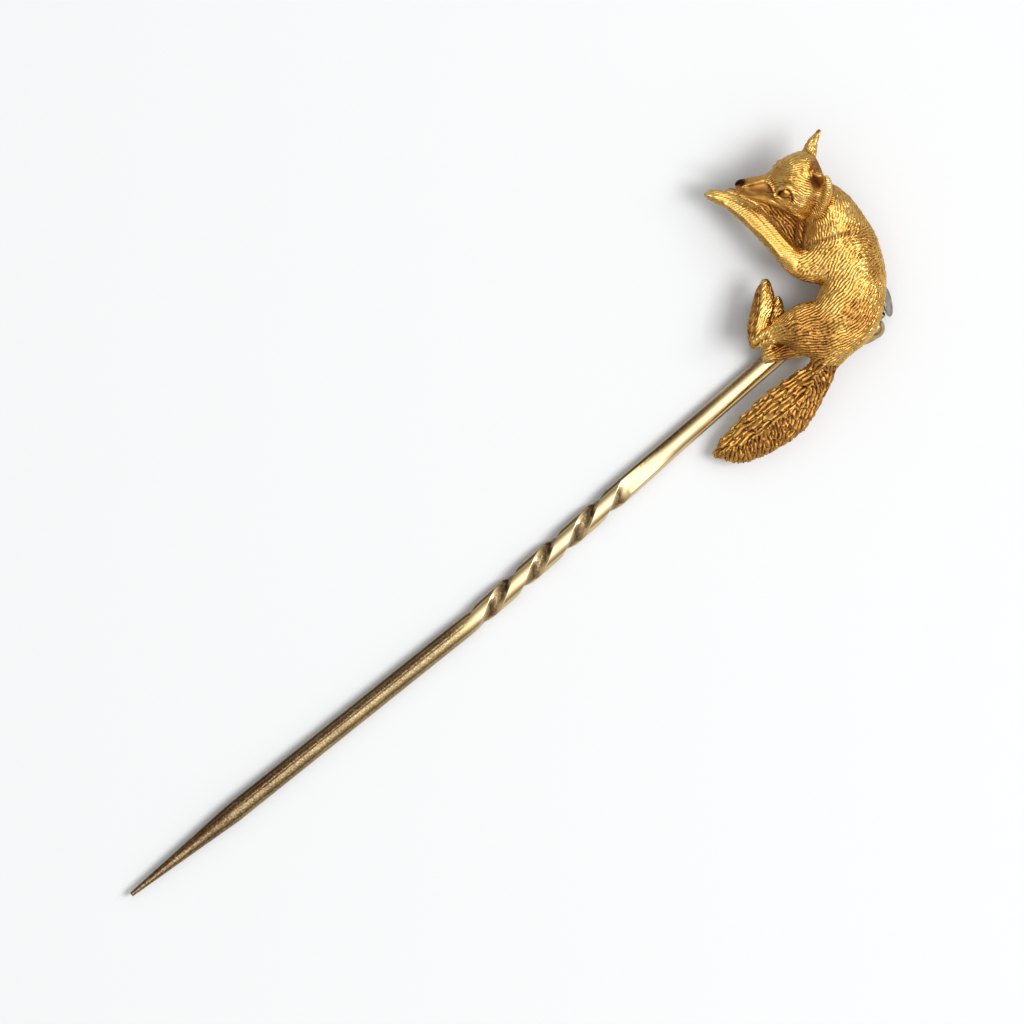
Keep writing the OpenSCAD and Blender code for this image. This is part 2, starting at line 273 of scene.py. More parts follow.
def finished_piece(name, mesh, material, slot, *nodes):
    """Writes a mesh out in metres as a smooth piece that stands for CAD nodes."""
    set_points(mesh, mesh_points(mesh) * METRES)
    mesh.name = name
    mesh.materials.clear()
    mesh.materials.append(material)
    mesh.shade_smooth()
    piece = new_object(name, mesh)
    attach(piece, "root")
    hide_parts(*nodes)


# ---- Materials ----
MATH, RANGE, NOISE = "ShaderNodeMath", "ShaderNodeMapRange", "ShaderNodeTexNoise"
RAMP, BUMP = "ShaderNodeValToRGB", "ShaderNodeBump"


def colour(code):
    """A linear colour from an sRGB hex code."""
    parts = [int(code[i:i + 2], 16) / 255 for i in (1, 3, 5)]
    return [c / 12.92 if c <= 0.04045 else ((c + 0.055) / 1.055) ** 2.4 for c in parts] + [1]


def add_node(tree, kind, sockets=None, stops=None, **settings):
    """Adds a node with its settings, ramp stops, and values or links for its sockets. A node
    given for a socket links from its first output."""
    node = tree.nodes.new(kind)
    for name, value in settings.items():
        setattr(node, name, value)
    for name, value in (sockets or {}).items():
        if isinstance(value, bpy.types.Node):
            value = value.outputs[0]
        if isinstance(value, bpy.types.NodeSocket):
            tree.links.new(value, node.inputs[name])
        else:
            node.inputs[name].default_value = value
    if stops:
        elements = node.color_ramp.elements
        while len(elements) < len(stops):
            elements.new(0.5)
        for element, (place, tint) in zip(elements, stops):
            element.position = place
            element.color = colour(tint) if isinstance(tint, str) else tint
    return node


def new_material(name):
    """A new material, the function that adds nodes to it, and the place in the piece."""
    material = bpy.data.materials.new(name)
    material.use_nodes = True
    material.node_tree.nodes.clear()
    add = partial(add_node, material.node_tree)
    return material, add, add("ShaderNodeTexCoord").outputs["Object"]


def end_in_metal(add, tint, rough, **more):
    """Ends a material as bare metal."""
    shader = add("ShaderNodeBsdfPrincipled", {
        "Base Color": tint, "Metallic": 1.0, "Roughness": rough, **more})
    add("ShaderNodeOutputMaterial", {"Surface": shader})


def cast_gold():
    """Cast yellow gold, carved with a graver and worn: bright cut ridges, copper-brown
    tarnish and painted shade left in the cuts and hollows and in other places."""
    material, add, place = new_material("cast_engraved_gold")
    # How brown the gold is, from tarnish and from painted shade, as noted on the mesh
    cut = add("ShaderNodeAttribute", attribute_name="cut").outputs["Fac"]
    # Patches of tarnish about 1.2 mm across
    patches = add(NOISE, {"Vector": place, "Scale": 800.0, "Detail": 3.0, "Roughness": 0.6})
    # The graver's cuts: the way round each hair from its crest (0) to the cut beside it (1)
    hair = add("ShaderNodeAttribute", attribute_name="hair").outputs["Vector"]
    parts = add("ShaderNodeSeparateXYZ", {"Vector": hair}).outputs
    turn = add(MATH, {0: parts["Y"], 1: parts["X"]}, operation="ARCTAN2")
    round_turn = add(MATH, {0: turn}, operation="ABSOLUTE")
    to_cut = add(RANGE, {"Value": round_turn, "From Max": math.pi})
    # A cut comes and goes along its length, in stretches of about 0.4 mm
    stretches = add(NOISE, {"Vector": place, "Scale": 2600.0, "Detail": 1.0})
    pressed = add(RANGE, {"Value": stretches, "From Min": 0.38, "From Max": 0.58, "To Min": 0.25})
    sharp = add(MATH, {0: pressed, 1: parts["Z"]}, operation="MULTIPLY")
    depth = add(MATH, {0: to_cut, 1: sharp}, operation="MULTIPLY")
    # Dirt and painted shade at the bottoms of the cuts
    cut_dirt_and_shade = add(RANGE, {"Value": depth, "From Min": 0.5, "From Max": 1.0, "To Max": 0.16})
    in_cuts = add(MATH, {0: cut_dirt_and_shade, 1: cut}, operation="ADD")
    cover = add(MATH, {0: patches, 1: 0.36, 2: in_cuts}, operation="MULTIPLY_ADD")
    tint = add(RAMP, {"Fac": cover}, stops=[
        (0.10, "#ffdf98"), (0.30, "#eebe61"), (0.48, "#cf974c"), (0.70, "#8b562c"),
        (0.88, "#704424"), (1.00, "#341c0e")])
    rough = add(RANGE, {
        "Value": cover, "From Min": 0.1, "From Max": 0.8, "To Min": 0.15, "To Max": 0.48})
    # Fine marks of casting skin and wear, about 0.06 mm apart
    skin = add(NOISE, {"Vector": place, "Scale": 16000.0})
    grain = add(BUMP, {"Height": skin, "Strength": 0.25, "Distance": 0.00002})
    # The sharp bottoms of the cuts, 0.03 mm deep, too fine for the mesh
    bump = add(BUMP, {
        "Height": depth, "Strength": 0.7, "Distance": 0.00003, "Normal": grain}, invert=True)
    end_in_metal(add, tint, rough, Normal=bump)
    return material


def drawn_gold():
    """Drawn and polished 9 carat wire: pale greenish gold with fine marks along it and
    brown tarnish that gathers toward the point, tarnish and painted shade in the twist's
    hollows, and painted shade in stripes along the wire's left side."""
    material, add, place = new_material("drawn_green_gold_wire")
    cut = add("ShaderNodeAttribute", attribute_name="cut").outputs["Fac"]
    patches = add(NOISE, {"Vector": place, "Scale": 500.0, "Detail": 4.0, "Roughness": 0.6})
    # Tarnish sits on the wire in specks about 0.1 mm across
    specks = add(NOISE, {"Vector": place, "Scale": 9000.0, "Roughness": 0.6})
    speckled = add(RANGE, {
        "Value": specks, "From Min": 0.3, "From Max": 0.7, "To Min": 0.6, "To Max": 1.4})
    in_specks = add(MATH, {0: speckled, 1: cut}, operation="MULTIPLY")
    cover = add(MATH, {0: patches, 1: 0.4, 2: in_specks}, operation="MULTIPLY_ADD")
    tint = add(RAMP, {"Fac": cover}, stops=[
        (0.12, "#edd8aa"), (0.36, "#ceb484"), (0.60, "#9c8761"), (0.80, "#786149"),
        (1.00, "#5a3f22")])
    rough = add(RANGE, {
        "Value": cover, "From Min": 0.1, "From Max": 1.0, "To Min": 0.12, "To Max": 0.28})
    # Polishing marks along the wire, about 0.08 mm apart
    along = add("ShaderNodeMapping", {"Vector": place, "Scale": (0.06, 1.0, 1.0)})
    marks = add(NOISE, {"Vector": along, "Scale": 12000.0})
    bump = add(BUMP, {"Height": marks, "Strength": 0.2, "Distance": 0.00001})
    end_in_metal(add, tint, rough, Normal=bump)
    return material


def grey_white_metal():
    """Turned white metal gone dull grey, in lighter and darker patches."""
    material, add, place = new_material("dull_white_metal")
    patches = add(NOISE, {"Vector": place, "Scale": 1500.0, "Detail": 3.0})
    tint = add(RAMP, {"Fac": patches}, stops=[(0.3, "#8b8882"), (0.7, "#b4b1a9")])
    end_in_metal(add, tint, 0.38)
    return material


# ---- Camera, light and table ----
def set_camera():
    data = bpy.data.cameras.new("photo_camera")
    data.lens, data.sensor_width = CAMERA_LENS, CAMERA_SENSOR
    data.clip_start, data.clip_end = 0.01, 20
    camera = new_object("photo_camera", data)
    camera.location = (VIEW_CENTRE[0] * METRES, VIEW_CENTRE[1] * METRES, CAMERA_HEIGHT * METRES)
    camera.rotation_euler = (0, 0, PHOTO_TURN)
    bpy.context.scene.camera = camera


def photo_direction(toward, rise):
    """A direction seen from the pin: toward is its angle in the photograph, anticlockwise
    from its right side, and rise its angle over the table, both in degrees."""
    a, e = math.radians(toward), math.radians(rise)
    flat = (RIGHT * math.cos(a) + UP * math.sin(a)) * math.cos(e)
    return Vector((flat[0], flat[1], math.sin(e)))


# The middle of the soft light overhead, and the lamps: toward and rise, size in metres, watts
SKY_MIDDLE, SKY_STRENGTH = (0, 79), 2.55
WINDOW, SHADOW_LAMP = (15, 42, 0.2, 0.85), (-4, 59, 0.28, 5.0)
LAMP_DISTANCE = 0.7


def set_lamp(name, toward, rise, size, watt):
    """A square lamp that the camera doesn't see."""
    data = bpy.data.lights.new(name, "AREA")
    data.shape, data.size, data.energy = "SQUARE", size, watt
    lamp = new_object(name, data)
    way = photo_direction(toward, rise)
    lamp.location = way * LAMP_DISTANCE
    lamp.rotation_euler = way.to_track_quat("Z", "Y").to_euler()
    lamp.visible_camera = False
    return lamp


def set_light():
    world = bpy.data.worlds.new("tent")
    bpy.context.scene.world = world
    world.use_nodes = True
    world.node_tree.nodes.clear()
    add = partial(add_node, world.node_tree)
    ray = add("ShaderNodeTexCoord").outputs["Generated"]
    facing = add("ShaderNodeVectorMath", {
        0: ray, 1: photo_direction(*SKY_MIDDLE)}, operation="DOT_PRODUCT").outputs["Value"]
    angle = add(MATH, {0: facing}, operation="ARCCOSINE")
    # Share of a right angle away from the middle of the soft light
    share = add(MATH, {0: angle, 1: math.pi / 2}, operation="DIVIDE")
    tint = add(RAMP, {"Fac": share}, stops=[
        (0.00, (0.95, 0.96, 0.97, 1)), (0.16, (0.86, 0.87, 0.88, 1)),
        (0.34, (0.55, 0.55, 0.55, 1)), (0.58, (0.24, 0.23, 0.22, 1)),
        (0.82, (0.12, 0.11, 0.10, 1)), (1.00, (0.18, 0.18, 0.18, 1))])
    sky = add("ShaderNodeBackground", {"Color": tint, "Strength": SKY_STRENGTH})
    add("ShaderNodeOutputWorld", {"Surface": sky})
    set_lamp("window", *WINDOW)
    # Gives the card its shadows. Mirrored in the gold, it would add glints.
    set_lamp("shadow_lamp", *SHADOW_LAMP).visible_glossy = False
    bpy.context.scene.view_settings.view_transform = "Standard"


TABLE_HALF = 3.0
# Painted shade that only the gold's reflections see: the table's side that the gold mirrors
# dimly, how far left of the wire it begins and is full, and where along the stem it fades to
# its least, in metres
DIM_SIDE, DIM_END, DIM_LEAST = (0.0009, 0.0017), (0.016, 0.020), 0.35


def set_table():
    """Card under the pin, which the lamps light to near white."""
    half, level = TABLE_HALF, cad_box[0][2]
    mesh = new_mesh("table", [(-half, -half, level), (half, -half, level), (half, half, level),
                              (-half, half, level)], [(0, 1, 2, 3)])
    table = new_object("table", mesh)
    material, add, place = new_material("matt_card")
    card = add("ShaderNodeBsdfPrincipled", {
        "Base Color": colour("#b9babb"), "Roughness": 0.9, "Specular IOR Level": 0.2})
    # What the gold mirrors: a bright table on the window's side and, as painted shade that only
    # reflections see, a dim one on the other
    parts = add("ShaderNodeSeparateXYZ", {"Vector": place}).outputs
    past_bend = add(MATH, {0: parts["X"], 1: 0.0}, operation="MAXIMUM")
    left_of_wire = add(MATH, {
        0: past_bend, 1: -math.tan(math.radians(STEM_BEND)), 2: parts["Y"]},
        operation="MULTIPLY_ADD")
    side = add(RANGE, {"Value": left_of_wire, "From Min": DIM_SIDE[0], "From Max": DIM_SIDE[1]})
    by_stem = add(RANGE, {
        "Value": parts["X"], "From Min": DIM_END[0], "From Max": DIM_END[1], "To Min": 1.0,
        "To Max": DIM_LEAST})
    dimness = add(MATH, {0: side, 1: by_stem}, operation="MULTIPLY")
    mirrored = add(RAMP, {"Fac": dimness}, stops=[(0.0, "#aaa8a6"), (1.0, "#48413b")])
    dim = add("ShaderNodeBsdfDiffuse", {"Color": mirrored})
    seen = add("ShaderNodeLightPath").outputs["Is Camera Ray"]
    surface = add("ShaderNodeMixShader", {0: seen, 1: dim, 2: card})
    add("ShaderNodeOutputMaterial", {"Surface": surface})
    mesh.materials.append(material)


# ---- Stem ----
SIDES = 144
STATION_STEP = 0.1
# Taken off the wire's radius, since the source's wire is faceted inside its full radius
INSET = 0.004
# The twist's flats: how thick the wire is between them and how hollow each one is. They are
# a little wider and less hollow than the source's.
DRAWN_T, DRAWN_HOLLOW = 0.87, 0.05
# The bend where the twist begins reaches this far to both sides
BEND_HALF_L = 0.6


def bar_reach(a):
    """Reach of the flattened wire's surface at angles from the middle of one flat."""
    turned = a % math.pi
    from_flat = np.minimum(turned, math.pi - turned)
    corner = math.acos(DRAWN_T / BAR_W)
    flat = (DRAWN_T / 2 / np.cos(np.minimum(from_flat, corner))
            - DRAWN_HOLLOW * np.cos(np.minimum(from_flat / corner, 1) * math.pi / 2))
    return np.where(from_flat < corner, flat, BAR_W / 2)


def smooth_route(points, steps):
    """A smooth curve through points, with steps between each two."""
    points = np.asarray(points, float)
    padded = np.concatenate([points[:1], points, points[-1:]])
    t = np.linspace(0, 1, steps, endpoint=False)[:, None]
    spans = []
    for a, b, c, d in zip(padded, padded[1:], padded[2:], padded[3:]):
        spans.append(b + (c - a) * t / 2 + (2 * a - 5 * b + 4 * c - d) * t ** 2 / 2
                     + (3 * b - a - 3 * c + d) * t ** 3 / 2)
    return np.concatenate(spans + [points[-1:]])


def wire_route():
    """The wire's axis from the point to the lug, on the table's plane, and how far along the
    shaft each station is."""
    straight_end = TWIST_L + UPPER_L + HIDDEN_STRAIGHT_L
    stations = np.arange(-SHAFT_L, straight_end, STATION_STEP)
    bend = math.radians(STEM_BEND) * eased(stations, -BEND_HALF_L, BEND_HALF_L)
    middle = np.cumsum(np.stack([np.cos(bend), np.sin(bend)], 1) * STATION_STEP, 0)
    middle += on_axis(stations[-1])[:2] - middle[-1]
    behind = smooth_route([on_axis(straight_end)[:2]]
                          + [on_fox(across, up, 0)[:2] for across, up in HIDDEN_ROUTE], 12)
    route = np.concatenate([middle, behind])
    hidden = straight_end + np.arange(len(behind)) * STATION_STEP
    return route, np.concatenate([stations, hidden])


# The fine seam along the plain shaft, left of its top, and small pits in the upper shaft
SEAM_ANGLE, SEAM_SPREAD, SEAM_DEPTH, SEAM_END_L = 0.19, 0.07, 0.022, 17.0
PITS_PX = ((732, 385), (654, 450))
PIT_W_PX, PIT_DEPTH = 1.7, 0.05


def wire_rings():
    """Sections of the wire, from its point to the bend behind the fox."""
    route, stations = wire_route()
    a = circle(SIDES)
    narrowing = np.clip((stations + SHAFT_L) / POINT_L, 0, 1)
    r = POINT_D / 2 + (STEM_D / 2 - INSET - POINT_D / 2) * narrowing
    flatness = (eased(stations, 0, TWIST_START_L)
                * (1 - eased(stations, TWIST_L, TWIST_L + FLAT_FADE_L)))
    turn = math.pi * (np.clip(stations, 0, TWIST_L) - TWIST_L) / HALF_TURN_L
    reach = flatness[:, None] * bar_reach(a)[None, :] + (1 - flatness[:, None]) * r[:, None]
    angle = a[None, :] - turn[:, None]
    from_seam = np.angle(np.exp(1j * (angle + SEAM_ANGLE)))
    seamed = (eased(stations, -SEAM_END_L, 1 - SEAM_END_L)
              * (1 - eased(stations, -BEND_HALF_L, 0)))
    reach -= SEAM_DEPTH * np.exp(-(from_seam / SEAM_SPREAD) ** 2) * seamed[:, None]
    ahead = unit(np.gradient(route, axis=0))
    across = -reach * np.sin(angle)
    x = route[:, 0, None] - across * ahead[:, 1, None]
    y = route[:, 1, None] + across * ahead[:, 0, None]
    return np.stack([x, y, reach * np.cos(angle)], 2)


def turned_solid(middle, axis, profile, name, sides=64):
    """A round solid: profile gives (along the axis, radius) from one end to the other."""
    axis = unit(np.asarray(axis, float))
    side = unit(np.cross(axis, (0.3, 0.5, 0.81)))
    around = ring(side, np.cross(axis, side), sides)
    rings = np.array([middle + axis * along + around * r for along, r in profile])
    return tube(rings, name)


# How near its poles the rings of a ball begin and end, in radians
POLE = 0.06


def ball_profile(r, start=POLE, steps=24):
    """The profile of a ball, from an angle off its first pole to near the other one."""
    return [(-r * math.cos(a), r * math.sin(a)) for a in np.linspace(start, math.pi - POLE, steps)]


def joined(mesh, *others):
    """One solid out of several that run into each other."""
    for other in others:
        cutter = new_object("joined_on", other)
        mesh = modified(mesh, "BOOLEAN", object=cutter, operation="UNION", solver="MANIFOLD")
        bpy.data.objects.remove(cutter)
    return mesh


def pit_wire(mesh):
    """Presses the small pits into the top of the wire."""
    points = mesh_points(mesh)
    pixels = photo_pixels(points)
    for pit in PITS_PX:
        away = line_distance(pixels, (pit,))
        points[:, 2] -= PIT_DEPTH * np.exp(-(away / PIT_W_PX) ** 2) * (points[:, 2] > 0)
    set_points(mesh, points)


# How brown the wire is in places: tarnish, tarnish and painted shade in the twist's hollows,
# and painted shade in the stripes along its left side; where the stripes lie and how wide they
# are, in radians from the top
SHAFT_TARNISH, POINT_TARNISH, HOLLOW_TARNISH_AND_SHADE, LUG_TARNISH = 0.38, 0.12, 0.52, 0.28
UPPER_STRIPE_SHADE, LOWER_STRIPE_SHADE = 0.5, 0.25
UPPER_STRIPE_LEAN, LOWER_STRIPE_LEAN, STRIPE_SPREAD = 0.78, 0.36, 0.27
# Where one kind of tarnish or painted shade gives way to the next, measured from the twist's
# start, from its end and from where the wire goes under the fox
PLAIN_END, TWIST_END, UPPER_START, UPPER_END = (-1.5, 1.0), (-1.2, 0.2), (0, 2), (0, 1)
# How far before the twist the point's tarnish begins and is full, and how far inside the
# wire's full reach its hollows end
POINT_BROWNING, HOLLOW_EDGE = (6, 20), 0.02


def stem_tarnish_and_shade(mesh):
    """How brown the wire is: tarnish and painted shade in the hollows of the twist, tarnish
    along the plain shaft and more so toward the point, and painted shade in stripes along the
    left side of the plain shaft and of the upper shaft."""
    points = mesh_points(mesh)
    route, stations = wire_route()
    tree = search_tree(np.pad(route, ((0, 0), (0, 1))))
    nearest = np.array([tree.find((x, y, 0))[1] for x, y, _ in points])
    ahead = unit(np.gradient(route, axis=0))[nearest]
    off = points[:, :2] - route[nearest]
    left = ahead[:, 0] * off[:, 1] - ahead[:, 1] * off[:, 0]
    along = stations[nearest]

    def past(place, stretch):
        return eased(along, place + stretch[0], place + stretch[1])

    def stripe(where):
        return np.exp(-((lean - where) / STRIPE_SPREAD) ** 2)

    lean = np.arctan2(left, points[:, 2])
    reach = np.hypot(left, points[:, 2])
    plain = 1 - past(0, PLAIN_END)
    upper, hidden = past(TWIST_L, UPPER_START), past(TWIST_L + UPPER_L, UPPER_END)
    twisted = (1 - plain) * (1 - past(TWIST_L, TWIST_END))
    in_hollow = 1 - eased(reach, DRAWN_T / 2, BAR_W / 2 - HOLLOW_EDGE)
    # Tarnish, with painted shade in the twist's hollows and in the stripes along the left side
    note(mesh, "cut", plain * (SHAFT_TARNISH + POINT_TARNISH * eased(-along, *POINT_BROWNING)
                               + LOWER_STRIPE_SHADE * stripe(LOWER_STRIPE_LEAN))
         + twisted * HOLLOW_TARNISH_AND_SHADE * in_hollow
         + (upper - hidden) * UPPER_STRIPE_SHADE * stripe(UPPER_STRIPE_LEAN)
         + hidden * LUG_TARNISH)


# The bead's neck, as (how far along, radius) from the lug's middle and back from the bead's,
# and how far off its pole the bead's own profile begins, in radians
NECK_START, NECK_END, BEAD_START = ((0, 0.10), (0.05, 0.15)), (0.2, 0.12), 0.8


def make_stem(material):
    wire = tube(wire_rings(), "wire")
    pit_wire(wire)
    lug_place, bead_place = on_fox(*LUG_PLACE), on_fox(*BEAD_PLACE)
    out = bead_place - lug_place
    lug = turned_solid(lug_place, out, ball_profile(LUG_D / 2), "lug")
    reach = np.linalg.norm(out)
    neck_end = (reach - NECK_END[0], NECK_END[1])
    neck = [(along - reach, r) for along, r in (*NECK_START, neck_end)]
    bead = turned_solid(bead_place, out, neck + ball_profile(BEAD_D / 2, BEAD_START), "bead")
    mesh = joined(wire, lug, bead)
    stem_tarnish_and_shade(mesh)
    finished_piece("twisted_stem", mesh, material, "stem_gold", "pin_stem")


# The disc's dished face from rim to middle, in shares of half its thickness and of its radius,
# and how far off the disc's flat its rolled rim begins, in radians
DISC_FACE, ROLL_START = ((0.40, 0.87), (0.05, 0.83), (0.05, 0.40), (0.05, 0.05)), 0.15


def make_disc(material):
    """The small turned disc, with a rolled rim and a dished face, where the source has it."""
    source = mesh_points(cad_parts["end_disc"].data) / METRES
    middle = (source.min(0) + source.max(0)) / 2
    axis = np.linalg.svd(source - source.mean(0), full_matrices=False)[2][2]
    r, t = DISC_D / 2, DISC_T / 2
    roll = [(-t * math.cos(a), r - t + t * math.sin(a))
            for a in np.linspace(ROLL_START, math.pi - ROLL_START, 14)]
    back = [(-t * along, r * out) for along, out in DISC_FACE[::-1]]
    front = [(t * along, r * out) for along, out in DISC_FACE]
    mesh = turned_solid(middle, axis, back + roll + front, "disc", sides=96)
    finished_piece("white_metal_disc", mesh, material, "white_metal", "end_disc")


# ---- Fox ----
MELT_VOXEL, ROUGH_VOXEL, FINE_VOXEL = 0.15, 0.06, 0.045
MELT_ROUNDS, ROUGH_ROUNDS, FINE_ROUNDS = 120, 3, 2
# Share of its faces that the carved fox keeps
KEPT_SHARE = 0.45
# Where the limbs flow into the body without a crease: place, radius, and how far it melts
JOINS_PX = (
    (838, 345, 26, 1.0), (822, 322, 20, 1.0), (836, 262, 18, 0.8), (833, 236, 12, 0.6),
    (826, 366, 12, 0.8), (812, 262, 16, 0.6), (845, 300, 26, 0.6))


def spread(targets, points, values, count=4):
    """Values known at some points, carried to other points near them."""
    tree = search_tree(points)
    found = [tree.find_n(target, count) for target in targets]
    near = np.array([[hit[1] for hit in hits] for hits in found])
    weight = 1 / (np.array([[hit[2] for hit in hits] for hits in found]) + 1e-3)
    weight /= weight.sum(1, keepdims=True)
    return (values[near] * weight[:, :, None]).sum(1)


def with_clay(source):
    """The source's fox with the clay laid on it."""
    lumps = [source] + [clay_chain(chain, name) for name, chain in CLAY.items()]
    points = [mesh_points(lump) for lump in lumps]
    first = np.cumsum([0] + [len(lump) for lump in points])
    faces = [[int(first[i]) + v for v in face.vertices]
             for i, lump in enumerate(lumps) for face in lump.polygons]
    return new_mesh("fox_clay", np.concatenate(points).tolist(), faces)


def fox_casting():
    """The fox's skin in fine even faces, with limbs that flow into the body."""
    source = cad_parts["fox"].data.copy()
    set_points(source, mesh_points(source) / METRES)
    source = with_clay(source)
    soft = modified(source, "REMESH", mode="VOXEL", voxel_size=MELT_VOXEL)
    before = mesh_points(soft)
    share = near_places(photo_pixels(before), JOINS_PX) * eased(before[:, 2], 0, 1)
    melted = relaxed(before, edge_ends(soft), MELT_ROUNDS, 0.5 * share[:, None])
    rough = modified(source, "REMESH", mode="VOXEL", voxel_size=ROUGH_VOXEL)
    points = relaxed(mesh_points(rough), edge_ends(rough), ROUGH_ROUNDS, 0.5)
    set_points(rough, points + spread(points, before, melted - before))
    fine = modified(rough, "REMESH", mode="VOXEL", voxel_size=FINE_VOXEL)
    set_points(fine, relaxed(mesh_points(fine), edge_ends(fine), FINE_ROUNDS, 0.5))
    return fine


# The fox's coat by parts: hair_mm is from one graver cut to the next, lock_mm the length of a
# row of hair, cut and step the depths in mm of the cuts and of the step at a row's end,
# tarnish_and_shade how brown it is, from tarnish and from painted shade, sharp how clear the
# cuts' bottoms are, and stray how uneven the rows' ends.
COAT_COLUMNS = ("hair_mm", "lock_mm", "cut", "step", "tarnish_and_shade", "sharp", "stray")
COAT = {
    "brush_left": (0.27, 1.0, 0.052, 0.14, 0.45, 1.0, 0.45),
    "brush_right": (0.23, 0.7, 0.045, 0.12, 0.65, 1.0, 0.45),
    "near_foreleg": (0.13, 0.15, 0.012, 0.016, 0.1, 0.4, 0.55),
    "far_foreleg": (0.2, 0.8, 0.03, 0.04, 0.7, 1.0, 0.55),
    "head": (0.145, 0.44, 0.026, 0.035, 0.1, 0.9, 0.55),
    "near_foot": (0.16, 0.4, 0.03, 0.035, 0.08, 0.8, 0.4),
    "body": (0.175, 0.62, 0.034, 0.055, 0.1, 1.0, 0.55),
}
# Outlines of the parts as they show in the photograph. What they leave is the body. The line
# down the middle of the brush parts its two sides.
BRUSH_PARTING_PX = (
    (815, 378), (808, 392), (797, 405), (780, 418), (768, 428), (755, 437), (745, 442), (735, 448),
    (722, 452))
CORNERS_PX = {
    "brush_left": ((822, 356), (826, 366), *BRUSH_PARTING_PX, (700, 462), (695, 430), (760, 385)),
    "brush_right": (
        (826, 366), (840, 366), (840, 410), (800, 450), (760, 475), (700, 475), (700, 462),
        *BRUSH_PARTING_PX[::-1]),
    "near_foreleg": (
        (690, 180), (722, 186), (748, 198), (762, 208), (796, 247), (800, 256), (790, 285),
        (765, 262), (735, 225), (700, 210)),
    "far_foreleg": (
        (720, 176), (745, 190), (765, 203), (785, 207), (805, 221), (803, 250), (795, 247),
        (762, 208), (748, 198), (722, 186)),
    "head": (
        (725, 165), (780, 140), (795, 118), (835, 118), (836, 190), (832, 210), (820, 222),
        (808, 224), (785, 207), (765, 203), (738, 192)),
    "near_foot": ((744, 270), (776, 275), (778, 330), (764, 345), (740, 350)),
}
# Guides: a place and the way that the hair lies there, in degrees anticlockwise from the
# photograph's right side
GUIDES_PX = {
    "brush_left": (
        (805, 375, -146), (766, 412, -147), (737, 432, -149), (790, 395, -143), (718, 450, -160)),
    "brush_right": (
        (822, 381, -69), (799, 415, -101), (786, 426, -88), (777, 431, -85), (769, 435, -79),
        (750, 452, -95), (730, 460, -110), (815, 400, -95), (790, 435, -110)),
    "near_foreleg": ((712, 196, 15), (740, 210, 20), (765, 235, 10), (785, 262, -10)),
    "far_foreleg": ((750, 197, -25), (785, 220, -50), (798, 235, -70)),
    "head": (
        (755, 178, 12), (775, 175, 20), (790, 164, 25), (802, 163, 2), (806, 172, -60),
        (802, 197, -33), (803, 208, -36), (794, 213, -37), (795, 182, -10), (815, 140, 78),
        (818, 155, 100), (808, 152, 60), (826, 190, -8), (826, 205, -20), (815, 212, -70)),
    "near_foot": ((764, 290, 48), (764, 310, 52), (756, 330, 60)),
    "body": (
        (822, 222, -72), (846, 221, -118), (828, 230, -95), (838, 210, -90), (799, 255, -148),
        (825, 251, -132), (847, 253, -122), (862, 246, -178), (865, 272, -150), (836, 267, -118),
        (854, 268, -125), (830, 293, -135), (848, 293, -140), (862, 291, -115), (850, 340, -160),
        (782, 318, -142), (810, 335, -178), (815, 357, -175), (848, 341, -155), (820, 368, -95),
        (770, 335, -165), (872, 310, -130), (808, 232, -80), (857, 302, -128), (860, 314, -134),
        (852, 324, -146)),
}
# Places that the graver left smooth: place, radius, and how smooth
SMOOTH_PX = (
    (757, 192, 13, 1.0), (809, 230, 8, 0.8), (816, 179, 6, 0.8), (842, 230, 6, 0.5),
    (855, 260, 3, 0.7), (855, 287, 3, 0.7), (823, 284, 7, 0.7), (792, 276, 6, 0.8),
    (792, 358, 7, 0.7), (705, 196, 5, 0.9), (784, 193, 9, 1.0), (740, 183, 7, 1.0),
    (784, 204, 5, 0.5), (752, 199, 6, 0.9), (766, 201, 6, 0.9), (780, 207, 5, 0.7),
    (816, 185, 7, 0.8), (756, 290, 4, 0.8), (754.5, 300, 4, 0.8), (754, 310, 4, 0.8),
    (753, 320, 4, 0.8), (752, 330, 4, 0.8))


# Where brown tarnish stays and where painted shade darkens the gold: place, radius, and how much
TARNISH_AND_SHADE_PX = (
    (736, 183, 4, 2.2), (741, 182.5, 5, 2.1), (751, 179, 6, 0.45), (753, 188, 6, 1.0),
    (760, 188, 8, 1.05), (768, 190, 6, 0.95), (751, 195, 4, 0.6), (759, 197, 5, 0.6),
    (768, 198, 5, 0.65), (783, 194, 4, 0.7), (791, 200, 3, 1.2), (779.5, 193.5, 3.5, 1.0),
    (818, 131, 3, 1.2), (805, 142, 4, 0.7), (817, 168, 10, 0.7), (858, 314, 20, 0.6),
    (868, 240, 11, 0.45), (849, 232, 11, 0.5), (845, 342, 8, 0.4), (866, 280, 12, 0.1),
    (756.5, 287, 5.5, 0.9), (755, 296, 5.5, 0.9), (754, 305, 5.5, 0.9), (753.5, 314, 5.5, 0.9),
    (752.5, 323, 5.5, 0.9), (751.5, 332, 5.5, 0.8), (773, 305, 4, 0.6), (816, 182, 9, 1.0),
    (809, 230, 9, 0.45), (812, 336, 28, 0.68), (785, 352, 13, 0.8), (876, 272, 9, 0.35),
    (880, 300, 8, 0.35), (823, 284, 7, 0.40), (855, 260, 4, 0.50), (855, 288, 4, 0.50),
    (757, 305, 4, 0.60), (780, 350, 6, 0.70), (792, 276, 6, 0.2), (752, 346, 4, 0.5))
